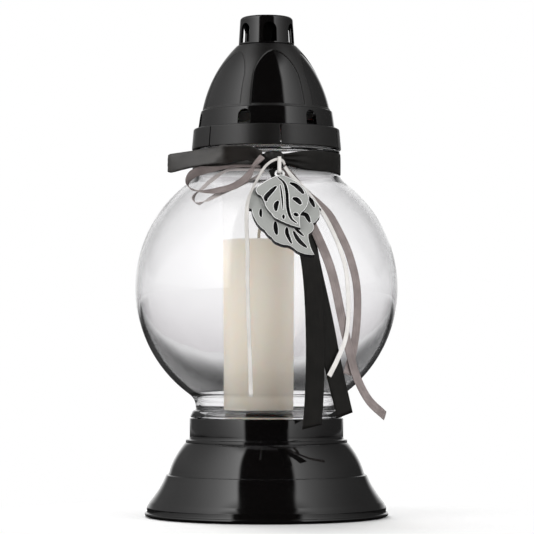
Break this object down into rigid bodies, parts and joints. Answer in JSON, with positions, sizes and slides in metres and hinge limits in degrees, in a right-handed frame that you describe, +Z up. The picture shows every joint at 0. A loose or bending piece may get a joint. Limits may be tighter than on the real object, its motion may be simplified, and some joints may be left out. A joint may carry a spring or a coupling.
{
  "type": "glass candle lamp",
  "caption": "Glass candle lamp: stepped plastic foot, round glass globe, vented cap with slotted chimney, candle insert, and ribbons with a plated leaf at the neck.",
  "frame": {"origin": "on the lamp's axis, where the foot stands", "axes": "+Z up along the axis, -Y the front, where the leaf hangs"},
  "size_m": [0.1754, 0.1877, 0.3343],
  "materials": {
    "gloss_black": "glossy injection moulded",
    "satin_black": "satin ribs, glossy panels",
    "clear_glass": "clear pressed and blown",
    "tinplate": "bright tinplate",
    "clear_cup": "translucent, thin",
    "wax": "pale cream wax, satin",
    "cotton": "braided, waxed",
    "black_ribbon": "satin weave",
    "taupe_ribbon": "satin weave",
    "white_ribbon": "satin weave",
    "plated_leaf": "bright plated moulding"
  },
  "bodies": {
    "lamp": {"base_shell": "gloss_black", "glass_globe": "clear_glass", "neck_band": "black_ribbon", "ribbon_knot": "black_ribbon", "bow_loop": "black_ribbon", "black_tail_left": "black_ribbon", "black_tail_right": "black_ribbon", "taupe_loop_upper": "taupe_ribbon", "taupe_loop_lower": "taupe_ribbon", "taupe_fold": "taupe_ribbon", "taupe_tail_left": "taupe_ribbon", "taupe_tail_right": "taupe_ribbon", "white_arch": "white_ribbon", "white_tail_right": "white_ribbon"},
    "cap": {"cap_shell": "satin_black", "chimney": "gloss_black", "heat_shield": "tinplate"},
    "insert": {"insert_cup": "clear_cup", "candle_wax": "wax", "candle_wick": "cotton", "wick_sustainer": "tinplate"},
    "loop": {"pendant_loop": "white_ribbon"},
    "leaf": {"leaf_pendant": "plated_leaf"}
  },
  "joints": [
    {"name": "cap_lift", "type": "slide", "parent": "lamp", "child": "cap", "axis": [0, 0, 1], "range_m": [0, 0.384]},
    {"name": "insert_lift", "type": "slide", "parent": "lamp", "child": "insert", "axis": [0, 0, 1], "range_m": [0, 0.192]},
    {"name": "pendant_sway", "type": "hinge", "parent": "lamp", "child": "loop", "pos_m": [0.00843, -0.06, 0.2343], "axis": [0.1124, -0.8001, 0.5893], "range_deg": [-1, 10]},
    {"name": "leaf_turn", "type": "hinge", "parent": "loop", "child": "leaf", "pos_m": [0.00856, -0.06093, 0.2245], "axis": [0.1124, -0.8001, 0.5893], "range_deg": [-1.5, 12]}
  ],
  "couplings": [
    {"joint": "insert_lift", "follows": "cap_lift", "ratio": 0.5}
  ]
}
